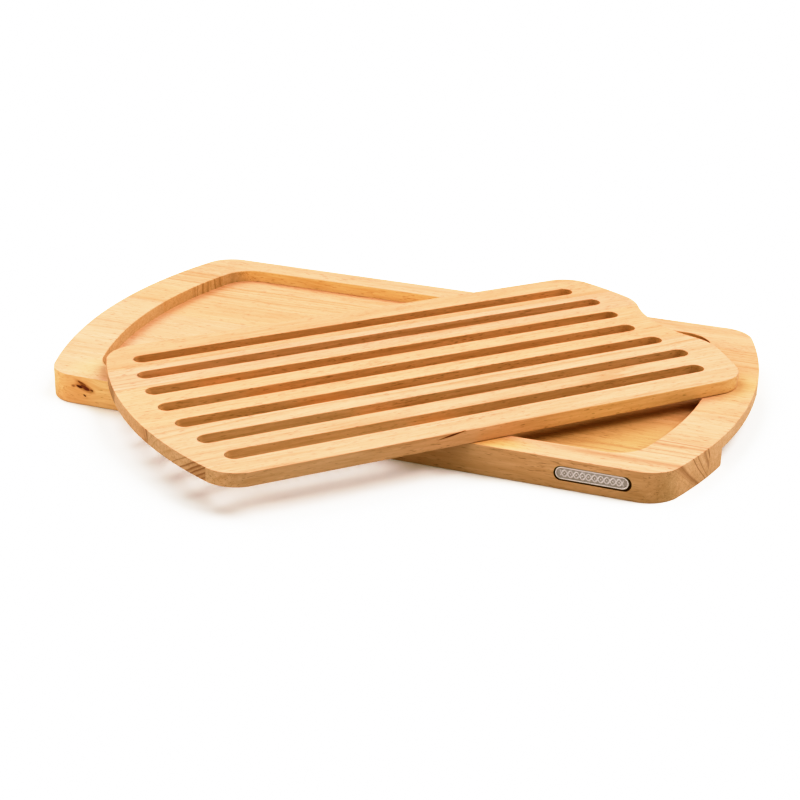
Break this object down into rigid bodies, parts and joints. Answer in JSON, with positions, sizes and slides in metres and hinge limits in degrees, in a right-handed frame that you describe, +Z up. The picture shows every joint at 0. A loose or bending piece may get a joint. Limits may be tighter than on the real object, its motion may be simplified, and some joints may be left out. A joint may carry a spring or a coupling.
{
  "type": "bread board",
  "caption": "Wooden bread board: a bow-ended tray with a shallow crumb recess, and a slatted cutting board lying turned across its rim.",
  "frame": {"origin": "centre of the tray's underside, on the surface that the board stands on", "axes": "+X along the tray's length towards the end beside the metal plate, -Y towards the long edge that holds the plate, +Z up"},
  "size_m": [0.45, 0.3908, 0.0286],
  "materials": {
    "tray_wood": "smooth oiled pale hardwood, grain along each stave",
    "slatted_wood": "smooth oiled pale hardwood, grain along each stave",
    "plate_metal": "dull cast face with a fine stipple"
  },
  "bodies": {
    "tray": {"tray_stave_1": "tray_wood", "tray_stave_2": "tray_wood", "tray_stave_3": "tray_wood", "tray_stave_4": "tray_wood", "tray_stave_5": "tray_wood", "tray_stave_6": "tray_wood", "metal_plate": "plate_metal"},
    "slatted_board": {"slatted_stave_1": "slatted_wood", "slatted_stave_2": "slatted_wood", "slatted_stave_3": "slatted_wood", "slatted_stave_4": "slatted_wood", "slatted_stave_5": "slatted_wood"}
  },
  "joints": [
    {"name": "slatted_board_lift", "type": "slide", "parent": "tray", "child": "slatted_board", "axis": [0, 0, 1], "range_m": [0, 0.12]}
  ]
}
